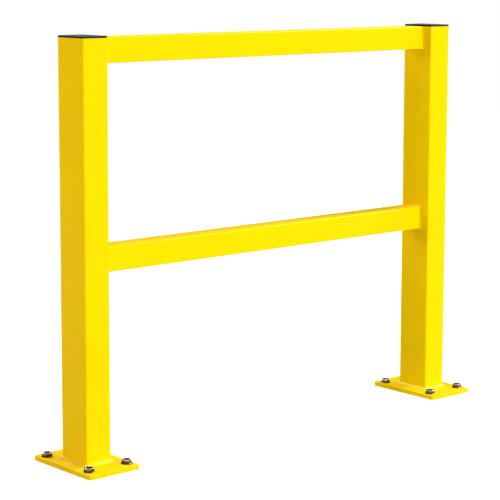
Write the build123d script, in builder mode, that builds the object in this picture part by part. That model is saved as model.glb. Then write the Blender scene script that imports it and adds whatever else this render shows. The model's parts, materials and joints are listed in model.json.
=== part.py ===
from build123d import *
import os

# Industrial guard rail: two box-section posts on bolted base plates, joined by a top rail and a middle rail.
# Millimetres, +Z up. The origin is on the floor under the left post's centre.
# +X runs along the rails to the right post, and +Y goes to the back.

# Overall
post_top = 1070  # floor to the post tubes' upper ends
post_pitch = 1220  # between the posts' centre lines
top_rail_drop = 0  # from the post tubes' upper ends down to the top rail's upper face
middle_rail_top = 550  # floor to the middle rail's upper face

# Posts, rectangular hollow section
post_width = 75  # along the rails
post_depth = 105  # across the rails
post_wall = 4
post_corner = 3.5  # outside radius

# Rails, square hollow section
rail_depth = 64  # across the rails
rail_height = 64
rail_wall = 3
rail_corner = 3  # outside radius
rail_inset = 8.5  # from the posts' back faces to the rails' back faces

least_corner = 1  # smallest inside radius of a tube

# Base plates
plate_width = 155
plate_depth = 240
plate_thick = 12
plate_corner = 6
plate_edge = 1.2  # rounding of the upper edge
bolt_inset_x = 20  # plate edge to bolt centre
bolt_inset_y = 30

# Floor bolts M14 with washers
bolt_diameter = 14
bolt_length = 40  # under the head
shank_diameter = 12.7  # between the head and the thread
bolt_point = 1.5  # chamfer of the shank's end
bolt_hole_clearance = 2  # on the diameter
head_flats = 22
head_height = 8.8
head_face = 20.8  # diameter of the round faces above and below the hexagon
head_face_height = 0.6
head_bevel = 30  # degrees, at the hexagon's upper corners
head_turns = (8, 41, 23, 52)  # degrees, one for each bolt of a plate
washer_diameter = 28
washer_thick = 2.5
washer_bevel = 0.6
washer_bore_clearance = 1  # on the diameter

# Fillet welds
foot_weld_leg = 7
rail_weld_leg = 3.5
weld_bulge = 0.16  # how far the bead's face stands out from flat, as a share of its leg

# End caps, moulded plugs
cap_thick = 5
cap_edge = 1.6  # rounding of the upper edge
skirt_gap = 2.5  # between the skirt and the post's inner wall
skirt_depth = 26
skirt_wall = 2.2
skirt_lead = 0.8  # chamfer round the skirt's lower end
fin_count = 3
fin_pitch = 7  # also from the lid to the first fin
fin_thick = 1.6
fin_lean = 1.2  # how much narrower each fin is at its lower face, on each side
fin_clearance = 0.15
rib_thick = 1.8
rib_depth = 18

# Worked out from the sizes above
post_x = {"left": 0, "right": post_pitch}
rail_length = post_pitch - post_width
rail_y = (post_depth - rail_depth) / 2 - rail_inset
rail_top = {"top": post_top - top_rail_drop, "middle": middle_rail_top}
bore_width = post_width - 2 * post_wall
bore_depth = post_depth - 2 * post_wall
bore_corner = max(post_corner - post_wall, least_corner)
bolt_spacing_x = plate_width - 2 * bolt_inset_x
bolt_spacing_y = plate_depth - 2 * bolt_inset_y
washer_top = plate_thick + washer_thick


def tube(plane, width, depth, wall, corner, length):
    with BuildPart() as section:
        with BuildSketch(plane):
            RectangleRounded(width, depth, corner)
            inner_corner = max(corner - wall, least_corner)
            RectangleRounded(width - 2 * wall, depth - 2 * wall, inner_corner, mode=Mode.SUBTRACT)
        extrude(amount=length)
    return section.part


# A fillet weld round a tube's end, on the plane's face. An open bead leaves the upper side out.
def weld_bead(plane, width, height, corner, leg, closed=True):
    with BuildPart() as bead:
        with BuildLine(plane) as seam:
            low_left, low_right = (-width / 2, -height / 2), (width / 2, -height / 2)
            if closed:
                high_right, high_left = (width / 2, height / 2), (-width / 2, height / 2)
                FilletPolyline(low_left, low_right, high_right, high_left, radius=corner, close=True)
            else:
                stop = height / 2 - corner
                FilletPolyline((-width / 2, stop), low_left, low_right, (width / 2, stop), radius=corner)
        path = seam.wires()[0]
        # In the profile's plane, X runs along the tube and Y away from it.
        with BuildSketch(Plane(origin=path @ 0, x_dir=plane.z_dir, z_dir=path % 0)):
            with BuildLine():
                Polyline((leg, 0), (0, 0), (0, leg))
                SagittaArc((0, leg), (leg, 0), leg * weld_bulge)
            make_face()
        sweep(path=path)
    return bead.part


def base_plate(foot):
    with BuildPart() as plate:
        with BuildSketch(foot):
            RectangleRounded(plate_width, plate_depth, plate_corner)
            with GridLocations(bolt_spacing_x, bolt_spacing_y, 2, 2):
                Circle((bolt_diameter + bolt_hole_clearance) / 2, mode=Mode.SUBTRACT)
        extrude(amount=plate_thick)
        fillet(plate.faces().sort_by(Axis.Z)[-1].outer_wire().edges(), plate_edge)
    return plate.part


def washers(foot):
    with BuildPart() as rings:
        with BuildSketch(foot.offset(plate_thick)):
            with GridLocations(bolt_spacing_x, bolt_spacing_y, 2, 2):
                Circle(washer_diameter / 2)
                Circle((bolt_diameter + washer_bore_clearance) / 2, mode=Mode.SUBTRACT)
        extrude(amount=washer_thick)
        rims = [face.outer_wire().edges() for face in rings.faces().group_by(Axis.Z)[-1]]
        chamfer([edge for rim in rims for edge in rim], washer_bevel)
    return rings.part


# One bolt with its head's bearing face at the origin. The shank is reduced down to the plate's underside,
# and the threaded length below it is a cylinder of the thread's outer diameter.
def hex_bolt():
    with BuildPart() as bolt:
        with BuildSketch(Plane.XY.offset(head_face_height)):
            RegularPolygon(head_flats / 2, 6, major_radius=False)
        extrude(amount=head_height - head_face_height)
        with BuildSketch(Plane.XY.offset(head_height)):
            Circle(head_face / 2)
        extrude(amount=-head_height, taper=head_bevel - 90, mode=Mode.INTERSECT)
        with BuildSketch():
            Circle(head_face / 2)
        extrude(amount=head_face_height)
        with BuildSketch():
            Circle(shank_diameter / 2)
        extrude(amount=-washer_top)
        with BuildSketch(Plane.XY.offset(-washer_top)):
            Circle(bolt_diameter / 2)
        extrude(amount=washer_top - bolt_length)
        chamfer(bolt.edges().sort_by(Axis.Z)[0], bolt_point)
    return bolt.part


def floor_bolts(foot, bolt):
    with BuildPart() as bolts:
        with GridLocations(bolt_spacing_x, bolt_spacing_y, 2, 2) as corners:
            places = corners.locations
        for place, turn in zip(places, head_turns):
            with Locations(foot.offset(washer_top).location * place * Rot(0, 0, turn)):
                add(bolt)
    return bolts.part


# A moulded plug: a lid as wide as the tube, and a hollow skirt with bevelled fins that meet the inner wall.
def end_cap(foot):
    rim = foot.offset(post_top)
    skirt_width = bore_width - 2 * skirt_gap
    skirt_length = bore_depth - 2 * skirt_gap
    hollow_width = skirt_width - 2 * skirt_wall
    hollow_length = skirt_length - 2 * skirt_wall
    fin_width = bore_width - 2 * fin_clearance
    fin_length = bore_depth - 2 * fin_clearance
    with BuildPart() as cap:
        with BuildSketch(rim):
            RectangleRounded(post_width, post_depth, post_corner)
        extrude(amount=cap_thick)
        fillet(cap.faces().sort_by(Axis.Z)[-1].edges(), cap_edge)
        with BuildSketch(rim):
            RectangleRounded(skirt_width, skirt_length, bore_corner)
        extrude(amount=-skirt_depth)
        chamfer(cap.faces().sort_by(Axis.Z)[0].edges(), skirt_lead)
        for fin in range(1, fin_count + 1):
            fin_top = rim.offset(-fin * fin_pitch)
            with BuildSketch(fin_top):
                RectangleRounded(fin_width, fin_length, bore_corner)
            with BuildSketch(fin_top.offset(-fin_thick)):
                RectangleRounded(fin_width - 2 * fin_lean, fin_length - 2 * fin_lean, bore_corner)
            loft()
        with BuildSketch(rim):
            RectangleRounded(hollow_width, hollow_length, least_corner)
        extrude(amount=-skirt_depth, mode=Mode.SUBTRACT)
        with BuildSketch(rim):
            Rectangle(hollow_width + skirt_wall, rib_thick)
            Rectangle(rib_thick, hollow_length + skirt_wall)
        extrude(amount=-rib_depth)
    return cap.part


def save(part, name):
    part.label = name
    export_step(part, f"parts/{name}.step")


os.makedirs("parts", exist_ok=True)
bolt = hex_bolt()

for side, x in post_x.items():
    foot = Plane(origin=(x, 0, 0))
    post_base = foot.offset(plate_thick)
    post_length = post_top - plate_thick
    save(base_plate(foot), f"{side}_base_plate")
    save(tube(post_base, post_width, post_depth, post_wall, post_corner, post_length), f"{side}_post")
    save(weld_bead(post_base, post_width, post_depth, post_corner, foot_weld_leg), f"{side}_foot_weld")
    save(end_cap(foot), f"{side}_end_cap")
    save(washers(foot), f"{side}_washers")
    save(floor_bolts(foot, bolt), f"{side}_floor_bolts")

for level, top in rail_top.items():
    middle = top - rail_height / 2
    # Each plane lies on a post's inner face and looks along the rail, with its own Y up.
    left_x, right_x = post_width / 2, post_pitch - post_width / 2
    left_end = Plane(origin=(left_x, rail_y, middle), x_dir=(0, 1, 0), z_dir=(1, 0, 0))
    right_end = Plane(origin=(right_x, rail_y, middle), x_dir=(0, -1, 0), z_dir=(-1, 0, 0))
    save(tube(left_end, rail_depth, rail_height, rail_wall, rail_corner, rail_length), f"{level}_rail")
    for side, end in (("left", left_end), ("right", right_end)):
        bead = weld_bead(end, rail_depth, rail_height, rail_corner, rail_weld_leg, closed=level == "middle")
        save(bead, f"{level}_rail_{side}_weld")
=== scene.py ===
# Guard rail in yellow powder coat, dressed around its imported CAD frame. Everything is in metres.
import json
import math

import bmesh
import bpy
from mathutils import Matrix, Vector, noise


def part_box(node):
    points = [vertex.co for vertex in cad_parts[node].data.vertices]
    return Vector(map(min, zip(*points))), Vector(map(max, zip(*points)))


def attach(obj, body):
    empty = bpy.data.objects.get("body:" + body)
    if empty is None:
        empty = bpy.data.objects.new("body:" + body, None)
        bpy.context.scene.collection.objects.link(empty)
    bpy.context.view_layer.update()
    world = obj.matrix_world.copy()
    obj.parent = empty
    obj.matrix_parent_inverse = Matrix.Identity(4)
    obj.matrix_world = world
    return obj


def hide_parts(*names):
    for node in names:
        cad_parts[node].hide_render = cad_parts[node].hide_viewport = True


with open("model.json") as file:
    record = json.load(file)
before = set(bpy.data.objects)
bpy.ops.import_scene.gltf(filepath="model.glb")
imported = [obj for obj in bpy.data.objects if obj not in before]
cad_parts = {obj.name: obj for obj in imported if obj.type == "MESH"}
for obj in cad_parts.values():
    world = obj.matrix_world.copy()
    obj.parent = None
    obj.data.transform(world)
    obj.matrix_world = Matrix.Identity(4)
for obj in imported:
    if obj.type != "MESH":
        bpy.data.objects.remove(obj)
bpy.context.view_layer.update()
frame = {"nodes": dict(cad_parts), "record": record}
print("frame loaded:", len(frame["nodes"]), "nodes")


# Small helpers for node materials

noiseLow, noiseHigh = 0.3, 0.7  # nearly all of a noise lies between these


def newMaterial(name):
    material = bpy.data.materials.new(name)
    material.use_nodes = True
    nodes, links = material.node_tree.nodes, material.node_tree.links
    return material, nodes, links, nodes["Principled BSDF"]


def addNoise(nodes, links, where, scale, detail, roughness, stretch=None):
    grain = nodes.new("ShaderNodeTexNoise")
    grain.inputs["Scale"].default_value = scale
    grain.inputs["Detail"].default_value = detail
    grain.inputs["Roughness"].default_value = roughness
    if stretch:
        mapping = nodes.new("ShaderNodeMapping")
        mapping.inputs["Scale"].default_value = stretch
        links.new(where, mapping.inputs["Vector"])
        where = mapping.outputs["Vector"]
    links.new(where, grain.inputs["Vector"])
    return grain.outputs["Fac"]


def addRange(nodes, links, value, low, high, fromLow=noiseLow, fromHigh=noiseHigh):
    span = nodes.new("ShaderNodeMapRange")
    span.inputs["From Min"].default_value = fromLow
    span.inputs["From Max"].default_value = fromHigh
    span.inputs["To Min"].default_value = low
    span.inputs["To Max"].default_value = high
    links.new(value, span.inputs["Value"])
    return span.outputs["Result"]


def addMath(nodes, links, operation, first, second):
    step = nodes.new("ShaderNodeMath")
    step.operation = operation
    links.new(first, step.inputs[0])
    links.new(second, step.inputs[1])
    return step.outputs["Value"]


def addMix(nodes, links, share, low, high):
    # low and high are colours, or sockets that give one
    mix = nodes.new("ShaderNodeMix")
    mix.data_type = "RGBA"
    for socket, colour in ((mix.inputs["A"], low), (mix.inputs["B"], high)):
        if isinstance(colour, tuple):
            socket.default_value = (*colour, 1)
        else:
            links.new(colour, socket)
    links.new(share, mix.inputs["Factor"])
    return mix.outputs["Result"]


def addBumps(nodes, links, shader, layers):
    normal = None
    for height, distance in layers:
        bump = nodes.new("ShaderNodeBump")
        bump.inputs["Strength"].default_value = 1.0
        bump.inputs["Distance"].default_value = distance
        links.new(height, bump.inputs["Height"])
        if normal:
            links.new(normal, bump.inputs["Normal"])
        normal = bump.outputs["Normal"]
    links.new(normal, shader.inputs["Normal"])


def assignMaterial(piece, material):
    piece.data.materials.clear()
    piece.data.materials.append(material)


# In the dictionaries of the finishes, a noise is its scale per metre, its detail and its roughness.

# Yellow powder coat: an even bright yellow with a satin gloss and a faint orange peel

coat = {
    "yellow": (1.0, 0.76, 0.0),
    "yellowDeep": (0.985, 0.73, 0.0),
    "cloud": (5.0, 3.0, 0.5),  # soft changes of film thickness
    "peel": (330.0, 1.5, 0.4),  # orange peel, about 3 mm
    "peelDepth": 0.00005,
    "dust": (1500.0, 2.0, 0.6),  # the powder's own fine grain
    "dustDepth": 0.000008,
    "gloss": (0.30, 0.38),  # roughness
    "lowAngle": (0.45, 0.85),  # where a glancing look starts to dull the gloss, and where it dulls it most
    "lowAngleHaze": 0.5,  # roughness that it adds there
    "specular": 0.055,
    "specularTint": (1.0, 0.85, 0.2),
}

# On the weld beads round the posts' feet the powder has pooled and is glossier.
footCoat = {
    **coat,
    "gloss": (0.15, 0.24),
    "lowAngleHaze": 0.0,
    "specular": 0.28,
    "specularTint": (1.0, 1.0, 1.0),
}


def makeYellowCoat(name, finish):
    material, nodes, links, shader = newMaterial(name)
    where = nodes.new("ShaderNodeTexCoord").outputs["Object"]
    cloud = addNoise(nodes, links, where, *finish["cloud"])
    peel = addNoise(nodes, links, where, *finish["peel"])
    dust = addNoise(nodes, links, where, *finish["dust"])
    thick = addRange(nodes, links, cloud, 0, 1)
    colour = addMix(nodes, links, thick, finish["yellowDeep"], finish["yellow"])
    links.new(colour, shader.inputs["Base Color"])
    facing = nodes.new("ShaderNodeLayerWeight").outputs["Facing"]
    haze = addRange(nodes, links, facing, 0.0, finish["lowAngleHaze"], *finish["lowAngle"])
    gloss = addRange(nodes, links, cloud, *finish["gloss"])
    links.new(addMath(nodes, links, "ADD", gloss, haze), shader.inputs["Roughness"])
    shader.inputs["Specular IOR Level"].default_value = finish["specular"]
    shader.inputs["Specular Tint"].default_value = (*finish["specularTint"], 1)
    addBumps(nodes, links, shader, [(peel, finish["peelDepth"]), (dust, finish["dustDepth"])])
    return material


# Black moulded plastic of the end caps: fine spark texture, a soft sheen, paler where it is handled

cap = {
    "black": (0.006, 0.006, 0.0065),
    "blackRubbed": (0.014, 0.014, 0.015),
    "rub": (28.0, 5.0, 0.6),
    "grain": (1300.0, 2.0, 0.5),
    "grainDepth": 0.00004,
    "wave": (60.0, 1.0, 0.5),  # slight sinks of the moulding
    "waveDepth": 0.0002,
    "gloss": (0.58, 0.70),  # roughness
    "specular": 0.10,
}


def makeCapPlastic():
    material, nodes, links, shader = newMaterial("blackCapPlastic")
    where = nodes.new("ShaderNodeTexCoord").outputs["Object"]
    rub = addNoise(nodes, links, where, *cap["rub"])
    grain = addNoise(nodes, links, where, *cap["grain"])
    wave = addNoise(nodes, links, where, *cap["wave"])
    handled = addRange(nodes, links, rub, 0, 1)
    links.new(addMix(nodes, links, handled, cap["black"], cap["blackRubbed"]), shader.inputs["Base Color"])
    links.new(addRange(nodes, links, rub, *cap["gloss"]), shader.inputs["Roughness"])
    shader.inputs["Specular IOR Level"].default_value = cap["specular"]
    addBumps(nodes, links, shader, [(wave, cap["waveDepth"]), (grain, cap["grainDepth"])])
    return material


# Zinc plating of the bolts and washers: a dark grey-brown film with straw patches and fine turning marks,
# rubbed through to bare metal along the upper edges of the heads

zinc = {
    "film": (0.06, 0.051, 0.041),
    "filmStraw": (0.15, 0.11, 0.06),
    "bare": (0.86, 0.83, 0.78),
    "edge": (0.32, 0.28, 0.22),  # tint of what it reflects at a low angle
    "patch": (90.0, 3.0, 0.6),
    "rub": (330.0, 3.0, 0.6),
    "rubSpan": (0.42, 0.62),  # of that noise, where the film starts to wear and where it is gone
    "mark": (900.0, 2.0, 0.6),
    "markStretch": (1.0, 0.35, 2.5),
    "markDepth": 0.00002,
    "dimple": (260.0, 2.0, 0.5),
    "dimpleDepth": 0.00006,
    "gloss": (0.12, 0.26),  # roughness
}


def makeZincPlate():
    material, nodes, links, shader = newMaterial("brightZinc")
    where = nodes.new("ShaderNodeTexCoord").outputs["Object"]
    patch = addNoise(nodes, links, where, *zinc["patch"])
    mark = addNoise(nodes, links, where, *zinc["mark"], stretch=zinc["markStretch"])
    dimple = addNoise(nodes, links, where, *zinc["dimple"])
    rub = addNoise(nodes, links, where, *zinc["rub"])
    rubbed = nodes.new("ShaderNodeAttribute")  # 0 on the washers, which have no such attribute
    rubbed.attribute_name = "rubbed"
    worn = addRange(nodes, links, rub, 0, 1, *zinc["rubSpan"])
    wear = addMath(nodes, links, "MULTIPLY", rubbed.outputs["Fac"], worn)
    straw = addRange(nodes, links, patch, 0, 1)
    film = addMix(nodes, links, straw, zinc["film"], zinc["filmStraw"])
    links.new(addMix(nodes, links, wear, film, zinc["bare"]), shader.inputs["Base Color"])
    links.new(addRange(nodes, links, patch, *zinc["gloss"]), shader.inputs["Roughness"])
    shader.inputs["Metallic"].default_value = 1.0
    shader.inputs["Specular Tint"].default_value = (*zinc["edge"], 1)
    addBumps(nodes, links, shader, [(dimple, zinc["dimpleDepth"]), (mark, zinc["markDepth"])])
    return material


yellowCoat = makeYellowCoat("yellowPowderCoat", coat)
yellowBead = makeYellowCoat("yellowPowderBead", footCoat)
capPlastic = makeCapPlastic()
brightZinc = makeZincPlate()

finishes = {"yellow_coat": yellowCoat, "black_cap": capPlastic, "zinc_plate": brightZinc}
for part in frame["record"]["subparts"]:
    assignMaterial(frame["nodes"][part["node"]], finishes[part["material_slot"]])
print("finishes on:", ", ".join(finishes))


# Meshes

def joinRings(mesh, here, there):
    for a in range(len(here)):
        b = (a + 1) % len(here)
        mesh.faces.new((here[a], here[b], there[b], there[a]))


def makePiece(name, mesh, material, node, sharpAngle):
    bmesh.ops.recalc_face_normals(mesh, faces=mesh.faces)
    data = bpy.data.meshes.new(name)
    mesh.to_mesh(data)
    mesh.free()
    data.polygons.foreach_set("use_smooth", [True] * len(data.polygons))
    data.set_sharp_from_angle(angle=math.radians(sharpAngle))
    piece = bpy.data.objects.new(name, data)
    bpy.context.scene.collection.objects.link(piece)
    assignMaterial(piece, material)
    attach(piece, "root")
    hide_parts(node)


# Rippled fillet welds: a bead round each post's foot, and one at each end of each rail.
# A bead's section lies in u along the tube and v away from it, and follows the tube's outline.

weld = {
    "bulge": 0.16,  # how far the face stands out, as a share of the leg
    "sink": 0.00015,  # the root and the toes go this far into the metal
    "rippleDepth": 0.07,  # as a share of the leg
    "rippleSkew": 0.7,  # under 1, a ripple rises faster than it falls
    "rippleMiddle": 0.6,  # the height of a ripple that is level with the bead's face
    "toeWander": 0.05,  # how far the toes wander, as a share of the leg
    "toeWanderRate": 160,  # per metre
    "pitchWander": 0.12,  # how uneven the ripples are, in pitches
    "pitchWanderRate": 90,  # per metre
    "pitchSeed": 5,  # added to the bead's seed
    "crescent": 0.6,  # how far a ripple bows back at the toes, in pitches
    "stepsPerRipple": 7,
    "facePoints": 11,
    "cornerSteps": 4,
    "tieIn": 0.010,  # length of a closed bead's swelling and of an open bead's taper, at its ends
    "tieInRise": 0.10,  # of the swelling, as a share of the leg
    "openEnd": 0.55,  # size of an open bead at its very ends, as a share
    "footPitch": 0.0030,  # from ripple to ripple
    "railPitch": 0.0021,
    "postCorner": 0.0035,
    "railCorner": 0.003,
    "sharpAngle": 50,  # degrees
}

beadSeeds = {
    "left_foot": 3.1,
    "right_foot": 10.8,
    "top_left": 21.3,
    "middle_left": 33.0,
    "top_right": 27.2,
    "middle_right": 38.9,
}


def outlineOf(width, height, corner, spacing, closed):
    # Points and outward normals round a rounded rectangle, from its lower left side anticlockwise.
    # An open outline leaves out the upper side and its corners.
    halfX, halfY = width / 2 - corner, height / 2 - corner
    middles = [(-halfX, -halfY), (halfX, -halfY), (halfX, halfY), (-halfX, halfY)]
    steps = weld["cornerSteps"]
    track = []
    for turn, (x, y) in enumerate(middles if closed else middles[:2]):
        for step in range(steps + 1):
            angle = math.pi * (1 + turn / 2 + step / (2 * steps))
            normal = Vector((math.cos(angle), math.sin(angle)))
            track.append((Vector((x, y)) + corner * normal, normal))
    if closed:
        track.append(track[0])
    else:
        track.insert(0, (Vector((-width / 2, halfY)), Vector((-1, 0))))
        track.append((Vector((width / 2, halfY)), Vector((1, 0))))
    lengths = [0.0]
    for before, after in zip(track, track[1:]):
        lengths.append(lengths[-1] + (after[0] - before[0]).length)
    count = round(lengths[-1] / spacing)
    line, stretch = [], 0
    for step in range(count if closed else count + 1):
        goal = lengths[-1] * step / count
        while stretch < len(track) - 2 and lengths[stretch + 1] < goal:
            stretch += 1
        share = (goal - lengths[stretch]) / (lengths[stretch + 1] - lengths[stretch])
        (start, startNormal), (stop, stopNormal) = track[stretch], track[stretch + 1]
        line.append((start.lerp(stop, share), startNormal.lerp(stopNormal, share).normalized(), goal))
    return line, lengths[-1]


def addWeld(mesh, place, size, corner, leg, pitch, seed, closed=True):
    # place(x, y, along) takes a point of the tube's section, and how far along the tube it is, to the frame
    line, total = outlineOf(*size, corner, pitch / weld["stepsPerRipple"], closed)
    ripples = round(total / pitch)
    slant = math.sqrt(0.5)  # the bead's face looks out halfway between u and v
    rings = []
    for point, normal, goal in line:
        wander = noise.noise(Vector((goal * weld["toeWanderRate"], seed, 0))) * weld["toeWander"]
        toe = leg * (1 + wander)
        fromEnd = min(goal, total - goal)
        lump = weld["tieInRise"] * math.exp(-(fromEnd / weld["tieIn"] * 2) ** 2) if closed else 0.0
        fade = 1.0 if closed else min(1.0, weld["openEnd"] + fromEnd / weld["tieIn"])
        ring = []
        for spot in range(weld["facePoints"]):
            across = spot / (weld["facePoints"] - 1)  # 0 at the toe on the flat, 1 at the toe on the tube
            side = 2 * across - 1
            uneven = noise.noise(Vector((goal * weld["pitchWanderRate"], seed + weld["pitchSeed"], side)))
            phase = goal * ripples / total + weld["crescent"] * side * side
            phase += weld["pitchWander"] * uneven
            wave = phase % 1.0
            crest = math.sin(math.pi * wave ** weld["rippleSkew"]) - weld["rippleMiddle"]
            rise = weld["bulge"] * (1 - side * side) + (crest * weld["rippleDepth"] + lump) * (1 - side ** 4)
            u = toe * across + rise * leg * slant
            v = toe * (1 - across) + rise * leg * slant
            ring.append((u * fade, v * fade))
        ring[0] = (-weld["sink"], toe * fade)
        ring[-1] = (toe * fade, -weld["sink"])
        ring.append((-weld["sink"], -weld["sink"]))
        rings.append([
            mesh.verts.new(place(point.x + v * normal.x, point.y + v * normal.y, u)) for u, v in ring
        ])
    for here, there in zip(rings, rings[1:] + rings[:1] if closed else rings[1:]):
        joinRings(mesh, here, there)
    if not closed:
        mesh.faces.new(rings[0])
        mesh.faces.new(rings[-1])


def makeFootWeld(side):
    low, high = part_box(side + "_post")
    beadLow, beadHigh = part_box(side + "_foot_weld")
    middle = (low + high) / 2

    def place(x, y, along):
        return middle.x + x, middle.y + y, low.z + along

    mesh = bmesh.new()
    addWeld(mesh, place, (high.x - low.x, high.y - low.y), weld["postCorner"], beadHigh.z - beadLow.z,
            weld["footPitch"], beadSeeds[side + "_foot"])
    makePiece(side + "_foot_bead", mesh, yellowBead, side + "_foot_weld", weld["sharpAngle"])


def makeRailWeld(level, side):
    low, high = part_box(level + "_rail")
    node = f"{level}_rail_{side}_weld"
    beadLow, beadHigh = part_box(node)
    middle = (low + high) / 2
    end, inward = (low.x, 1) if side == "left" else (high.x, -1)

    def place(x, y, along):
        return end + inward * along, middle.y + x, middle.z + y

    mesh = bmesh.new()
    addWeld(mesh, place, (high.y - low.y, high.z - low.z), weld["railCorner"], beadHigh.x - beadLow.x,
            weld["railPitch"], beadSeeds[f"{level}_{side}"], closed=level == "middle")
    makePiece(f"{level}_{side}_bead", mesh, yellowCoat, node, weld["sharpAngle"])


for side in ("left", "right"):
    makeFootWeld(side)
    for level in ("top", "middle"):
        makeRailWeld(level, side)
print("welds made")


# Hexagon bolts: a head with a bevelled and slightly dished top, and a cut thread below the plate

bolt = {
    "flats": 0.022,
    "cornerRound": 0.0007,
    "headHeight": 0.0088,
    "faceRadius": 0.0104,  # of the round face below the hexagon
    "faceHeight": 0.0006,
    "topRadius": 0.0095,  # inside the bevel
    "bevel": 30,  # degrees
    "edgeSoft": 0.00045,
    "edgeMiddle": (0.3, 0.25),  # how far in and down the rounded edge's middle lies, as shares of edgeSoft
    "rimDrop": 0.1,  # of the rim inside the bevel, as a share of edgeSoft
    "dishRadius": 0.0074,
    "dishWall": 0.0009,
    "dishDepth": 0.00045,
    "dishHollow": (1.15, 1.2),  # depth halfway to the centre and at the centre, as shares of dishDepth
    "shankRadius": 0.00635,
    "threadRadius": 0.007,
    "threadDepth": 0.00123,
    "threadPitch": 0.002,
    "threadCrest": 0.125,  # half of the flat crest, as a share of half a pitch
    "threadFlank": 0.625,  # one flank, as a share of half a pitch
    "threadRunOut": 0.8,  # how fast the thread widens below the shank
    "length": 0.040,  # under the head
    "point": 0.0015,
    "washerRadius": 0.014,
    "turns": (8, 41, 23, 52),  # degrees, as the solid's heads are turned
    "rubReach": 0.0014,  # how far the wear goes down the sides
    "rubbed": (0, 0, 0, 0, 0, 0.7, 1, 1, 0.9, 0.6, 0, 0, 0),  # wear of each ring of the head, from below
    "headSteps": 96,
    "threadSteps": 32,
    "ringsPerPitch": 12,
    "sharpAngle": 40,  # degrees
}


def hexagonRadius(angle):
    flat, soft = bolt["flats"] / 2, bolt["cornerRound"]
    sixth = math.radians(60)
    fromFlat = abs((angle % sixth) - sixth / 2)
    straight = math.atan((flat - soft) * math.tan(sixth / 2) / flat)
    if fromFlat <= straight:
        return flat / math.cos(fromFlat)
    reach = (flat - soft) / math.cos(sixth / 2)
    offCorner = sixth / 2 - fromFlat
    return reach * math.cos(offCorner) + math.sqrt(soft ** 2 - (reach * math.sin(offCorner)) ** 2)


def turnOf(steps):
    return [2 * math.pi * step / steps for step in range(steps)]


# Both functions give the angles, the rings as (radius, height), the height of the closing point,
# and the wear of each ring.

def headRings():
    top, face, soft = bolt["headHeight"], bolt["topRadius"], bolt["edgeSoft"]
    slope = math.tan(math.radians(bolt["bevel"]))
    angles = turnOf(bolt["headSteps"])
    outline = [hexagonRadius(angle) for angle in angles]
    edgeIn, edgeDown = bolt["edgeMiddle"]
    halfwayDown, centreDown = bolt["dishHollow"]

    def level(radius, height):
        return [(radius, height)] * len(angles)

    def bevelled(inward, down):
        return [(r - inward, top - max(r - inward - face, 0) * slope - down) for r in outline]

    rings = [
        level(bolt["faceRadius"], 0.0),
        level(bolt["faceRadius"], bolt["faceHeight"]),
        [(r - soft, bolt["faceHeight"]) for r in outline],
        [(r, bolt["faceHeight"] + soft) for r in outline],
        bevelled(0.0, soft + bolt["rubReach"]),
        bevelled(0.0, soft),
        bevelled(soft * edgeIn, soft * edgeDown),
        bevelled(soft, 0.0),
        level(face, top - soft * bolt["rimDrop"]),
        level(face - soft, top),
        level(bolt["dishRadius"], top),
        level(bolt["dishRadius"] - bolt["dishWall"], top - bolt["dishDepth"]),
        level(bolt["dishRadius"] / 2, top - bolt["dishDepth"] * halfwayDown),
    ]
    return angles, rings, top - bolt["dishDepth"] * centreDown, bolt["rubbed"]


def threadRings(threadTop):
    angles = turnOf(bolt["threadSteps"])
    shank, full = bolt["shankRadius"], bolt["threadRadius"]
    pitch, depth = bolt["threadPitch"], bolt["threadDepth"]
    rings = [[(shank, height)] * len(angles) for height in (bolt["faceHeight"], threadTop)]
    count = round((bolt["length"] + threadTop) / pitch * bolt["ringsPerPitch"])
    for number in range(1, count + 1):
        z = threadTop - (bolt["length"] + threadTop) * number / count
        fromTop, fromEnd = threadTop - z, z + bolt["length"]
        widest = min(full, full - bolt["point"] + fromEnd, shank + fromTop * bolt["threadRunOut"])
        ring = []
        for angle in angles:
            wave = (z / pitch - angle / (2 * math.pi)) % 1.0
            offCrest = abs(wave - 0.5) * 2
            cut = min(max((offCrest - bolt["threadCrest"]) / bolt["threadFlank"], 0.0), 1.0)
            ring.append((min(widest, full - depth * cut), z))
        rings.append(ring)
    return angles, rings, -bolt["length"], [0] * len(rings)


def addTurned(mesh, centre, turn, angles, rings, tip, wear):
    rubbed = mesh.verts.layers.float["rubbed"]
    rows = []
    for ring, share in zip(rings, wear):
        rows.append([
            mesh.verts.new(centre + Vector((r * math.cos(a + turn), r * math.sin(a + turn), z)))
            for a, (r, z) in zip(angles, ring)
        ])
        for vert in rows[-1]:
            vert[rubbed] = share
    end = mesh.verts.new(centre + Vector((0, 0, tip)))
    for here, there in zip(rows, rows[1:]):
        joinRings(mesh, here, there)
    for a in range(len(rows[-1])):
        mesh.faces.new((rows[-1][a], rows[-1][(a + 1) % len(rows[-1])], end))


def makeBolts(side):
    low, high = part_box(side + "_washers")
    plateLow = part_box(side + "_base_plate")[0]
    inset = bolt["washerRadius"]
    corners = [(x, y) for x in (low.x + inset, high.x - inset) for y in (low.y + inset, high.y - inset)]
    mesh = bmesh.new()
    mesh.verts.layers.float.new("rubbed")
    for (x, y), turn in zip(corners, bolt["turns"]):
        centre = Vector((x, y, high.z))
        addTurned(mesh, centre, math.radians(turn), *headRings())
        addTurned(mesh, centre, 0.0, *threadRings(plateLow.z - high.z))
    bmesh.ops.holes_fill(mesh, edges=[edge for edge in mesh.edges if edge.is_boundary], sides=0)
    makePiece(side + "_bolts", mesh, brightZinc, side + "_floor_bolts", bolt["sharpAngle"])


for side in ("left", "right"):
    makeBolts(side)
print("bolts made")


# Floor, lamps and camera

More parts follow.
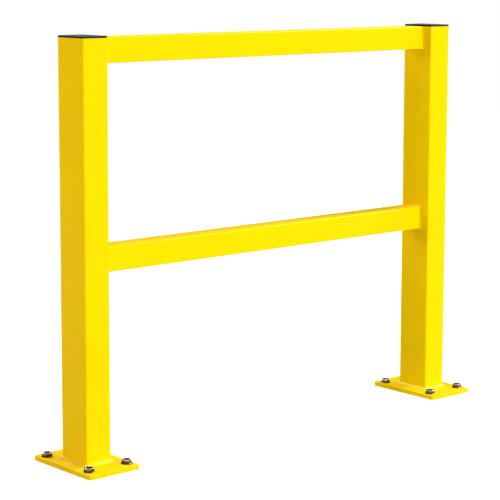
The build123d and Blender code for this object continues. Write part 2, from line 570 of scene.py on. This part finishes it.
studio = {
    "floorSize": 16.0,
    "floorMiddle": (0.6, 1.0),
    "floorDrop": 0.0003,  # under the plates
    "floorColour": (0.55, 0.55, 0.55),
    "floorRoughness": 0.9,
    "floorGlow": 0.88,  # what the camera adds, so that the lit floor reaches white
    "world": 0.25,  # strength of the light from all round
    "warm": (1.0, 0.81, 0.62),  # bounce of the room
    "white": (1.0, 1.0, 1.0),
    "aim": (0.61, 0.0, 0.55),
}

# Area lamps: power in watts, side in metres, place, colour, and what they light: body, gloss or both
lamps = {
    "frontLamp": (452.0, 1.4, (1.4, -8.0, 1.8), studio["white"], "both"),
    "leftLamp": (48.0, 1.4, (-2.4, 1.7, 1.6), studio["warm"], "body"),
    "backLamp": (230.0, 1.6, (1.2, 7.2, 4.4), studio["white"], "body"),
    "topLamp": (88.0, 0.6, (0.61, -0.2, 5.5), studio["white"], "both"),
    "sideLamp": (88.0, 0.7, (4.8, -0.8, 3.6), studio["white"], "body"),
    "beadGlint": (750.0, 1.2, (4.6, -1.6, 4.2), studio["white"], "gloss"),
    "rimGlint": (420.0, 0.5, (1.2, 7.2, 4.4), studio["white"], "gloss"),
}

view = {
    "place": (-2.5609, -3.5343, 1.2654),
    "yaw": 41.301,  # degrees from +Y towards +X
    "pitch": -7.773,
    "roll": 0.171,
    "lens": 128.21,  # millimetres, as is the sensor
    "sensor": 36.0,
    "shiftY": -0.10,
    "farthest": 100.0,
}


def addSeen(nodes, links):
    # 1 where the camera, a reflection or a clear material looks, and 0 where the surface only gives light
    path = nodes.new("ShaderNodeLightPath")
    seen = path.outputs["Is Camera Ray"]
    for ray in ("Is Glossy Ray", "Is Transmission Ray"):
        seen = addMath(nodes, links, "MAXIMUM", seen, path.outputs[ray])
    return seen


def makeFloor():
    place = (*studio["floorMiddle"], -studio["floorDrop"])
    bpy.ops.mesh.primitive_plane_add(size=studio["floorSize"], location=place)
    floor = bpy.context.object
    floor.name = "floor"
    material, nodes, links, shader = newMaterial("paleFloor")
    shader.inputs["Base Color"].default_value = (*studio["floorColour"], 1)
    shader.inputs["Roughness"].default_value = studio["floorRoughness"]
    shader.inputs["Specular IOR Level"].default_value = 0.0
    shader.inputs["Emission Color"].default_value = (*studio["white"], 1)
    glow = addRange(nodes, links, addSeen(nodes, links), 0.0, studio["floorGlow"], 0.0, 1.0)
    links.new(glow, shader.inputs["Emission Strength"])
    assignMaterial(floor, material)


def makeWorld():
    world = bpy.data.worlds.new("studioWhite")
    bpy.context.scene.world = world
    world.use_nodes = True
    nodes, links = world.node_tree.nodes, world.node_tree.links
    background = nodes["Background"]
    seen = addSeen(nodes, links)
    links.new(addRange(nodes, links, seen, studio["world"], 1.0, 0.0, 1.0), background.inputs["Strength"])
    links.new(addMix(nodes, links, seen, studio["warm"], studio["white"]), background.inputs["Color"])


def makeLamp(name, power, size, place, colour, lights):
    light = bpy.data.lights.new(name, "AREA")
    light.energy = power
    light.size = size
    light.color = colour
    lamp = bpy.data.objects.new(name, light)
    bpy.context.scene.collection.objects.link(lamp)
    lamp.location = place
    lamp.rotation_euler = (Vector(studio["aim"]) - Vector(place)).to_track_quat("-Z", "Y").to_euler()
    lamp.visible_camera = False
    lamp.visible_diffuse = lights != "gloss"
    lamp.visible_glossy = lights != "body"


def makeCamera():
    data = bpy.data.cameras.new("photoView")
    camera = bpy.data.objects.new("photoView", data)
    bpy.context.scene.collection.objects.link(camera)
    data.sensor_width = view["sensor"]
    data.lens = view["lens"]
    data.shift_y = view["shiftY"]
    data.clip_end = view["farthest"]
    yaw, pitch = math.radians(view["yaw"]), math.radians(view["pitch"])
    ahead = Vector((math.sin(yaw) * math.cos(pitch), math.cos(yaw) * math.cos(pitch), math.sin(pitch)))
    turn = ahead.to_track_quat("-Z", "Y").to_matrix() @ Matrix.Rotation(math.radians(view["roll"]), 3, "Z")
    camera.matrix_world = Matrix.Translation(view["place"]) @ turn.to_4x4()
    bpy.context.scene.camera = camera


makeFloor()
makeWorld()
for name, lamp in lamps.items():
    makeLamp(name, *lamp)
makeCamera()
bpy.context.scene.view_settings.view_transform = "Standard"
print("studio and camera set")
